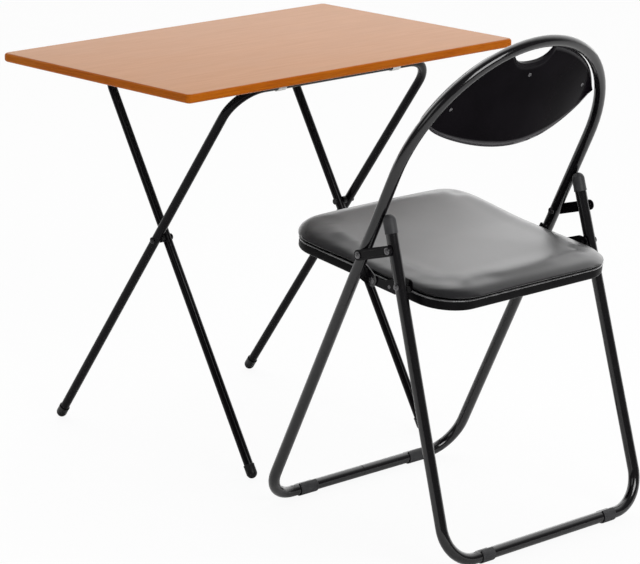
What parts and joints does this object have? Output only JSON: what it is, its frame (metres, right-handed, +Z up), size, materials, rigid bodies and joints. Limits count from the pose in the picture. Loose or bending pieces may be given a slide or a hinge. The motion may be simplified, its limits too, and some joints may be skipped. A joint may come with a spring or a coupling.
{
  "type": "folding desk and chair set",
  "caption": "Folding desk with a rectangular wood-effect top on crossed tubular legs, and a folding chair with a padded seat and an arched padded backrest.",
  "frame": {"origin": "on the floor, in the middle of the area that the desk and the chair stand on", "axes": "X along the desk's long side, Y from the chair to the desk, Z up"},
  "size_m": [0.75, 1.0804, 0.8231],
  "materials": {
    "black_painted_tube": "gloss",
    "bright_zinc": "satin",
    "black_plastic": "satin",
    "dark_grey_plastic": "satin",
    "beech_laminate": "satin",
    "brown_edging": "satin",
    "black_vinyl": "satin",
    "gloss_black_shell": "gloss"
  },
  "bodies": {
    "desk_outer_legs": {"desk_outer_frame": "black_painted_tube", "desk_outer_foot_cap_left": "black_plastic", "desk_outer_foot_cap_right": "black_plastic", "desk_crossing_bolt_left": "bright_zinc", "desk_crossing_bolt_right": "bright_zinc", "desk_crossing_spacer_left": "black_plastic", "desk_crossing_spacer_right": "black_plastic"},
    "desk_inner_legs": {"desk_inner_frame": "black_painted_tube", "desk_inner_foot_cap_left": "black_plastic", "desk_inner_foot_cap_right": "black_plastic"},
    "desk_top": {"desk_top_board": "beech_laminate", "desk_top_edging": "brown_edging", "desk_strap_left": "bright_zinc", "desk_strap_right": "bright_zinc", "desk_strap_screw_left_front": "bright_zinc", "desk_strap_screw_right_front": "bright_zinc", "desk_strap_screw_left_rear": "bright_zinc", "desk_strap_screw_right_rear": "bright_zinc", "desk_hook_left": "black_plastic", "desk_hook_right": "black_plastic", "desk_hook_screw_left": "bright_zinc", "desk_hook_screw_right": "bright_zinc"},
    "chair_loop": {"chair_loop_frame": "black_painted_tube", "chair_loop_plate_left": "black_painted_tube", "chair_loop_plate_right": "black_painted_tube", "chair_seat_front_rivet_left": "bright_zinc", "chair_seat_front_rivet_right": "bright_zinc", "chair_link_front_rivet_left": "bright_zinc", "chair_link_front_rivet_right": "bright_zinc", "chair_front_glide_left": "dark_grey_plastic", "chair_front_glide_right": "dark_grey_plastic", "chair_backrest_shell": "gloss_black_shell", "chair_backrest_pad": "black_vinyl", "chair_backrest_screw_left": "bright_zinc", "chair_backrest_screw_top": "bright_zinc", "chair_backrest_screw_right": "bright_zinc"},
    "chair_seat": {"chair_seat_base": "black_plastic", "chair_seat_cushion": "black_vinyl", "chair_seat_bracket_left": "black_painted_tube", "chair_seat_bracket_right": "black_painted_tube", "chair_seat_rear_rivet_left": "bright_zinc", "chair_seat_rear_rivet_right": "bright_zinc", "chair_bracket_screw_left_front": "bright_zinc", "chair_bracket_screw_right_front": "bright_zinc", "chair_bracket_screw_left_rear": "bright_zinc", "chair_bracket_screw_right_rear": "bright_zinc"},
    "chair_rear_legs": {"chair_rear_frame": "black_painted_tube", "chair_rear_cap_left": "dark_grey_plastic", "chair_rear_cap_right": "dark_grey_plastic", "chair_rear_glide_left": "dark_grey_plastic", "chair_rear_glide_right": "dark_grey_plastic"},
    "chair_link_left": {"chair_link_left": "black_painted_tube", "chair_link_rear_rivet_left": "bright_zinc"},
    "chair_link_right": {"chair_link_right": "black_painted_tube", "chair_link_rear_rivet_right": "bright_zinc"}
  },
  "joints": [
    {"name": "desk_scissor", "type": "hinge", "parent": "desk_outer_legs", "child": "desk_inner_legs", "pos_m": [0, 0.25229, 0.38485], "axis": [1, 0, 0], "range_deg": [0, 62]},
    {"name": "desk_top_hinge", "type": "hinge", "parent": "desk_outer_legs", "child": "desk_top", "pos_m": [0, 0.03617, 0.6762], "axis": [1, 0, 0], "range_deg": [0, 124]},
    {"name": "chair_stand", "type": "slide", "parent": "desk_outer_legs", "child": "chair_loop", "axis": [0, -1, 0], "range_m": [0, 0.3]},
    {"name": "chair_seat_hinge", "type": "hinge", "parent": "chair_loop", "child": "chair_seat", "pos_m": [-0.0603, -0.32965, 0.43362], "axis": [1, 0, 0], "range_deg": [0, 110]},
    {"name": "chair_rear_leg_hinge", "type": "hinge", "parent": "chair_seat", "child": "chair_rear_legs", "pos_m": [-0.0603, -0.40997, 0.44178], "axis": [1, 0, 0], "range_deg": [-73.8, 0]},
    {"name": "chair_link_hinge_left", "type": "hinge", "parent": "chair_loop", "child": "chair_link_left", "pos_m": [-0.0603, -0.3279, 0.4788], "axis": [1, 0, 0], "range_deg": [0, 103.74]},
    {"name": "chair_link_hinge_right", "type": "hinge", "parent": "chair_loop", "child": "chair_link_right", "pos_m": [-0.0603, -0.3279, 0.4788], "axis": [1, 0, 0], "range_deg": [0, 103.74]}
  ],
  "couplings": [
    {"joint": "desk_top_hinge", "follows": "desk_scissor", "ratio": 2},
    {"joint": "chair_rear_leg_hinge", "follows": "chair_seat_hinge", "ratio": -0.6709},
    {"joint": "chair_link_hinge_left", "follows": "chair_seat_hinge", "ratio": 0.9431},
    {"joint": "chair_link_hinge_right", "follows": "chair_seat_hinge", "ratio": 0.9431}
  ]
}
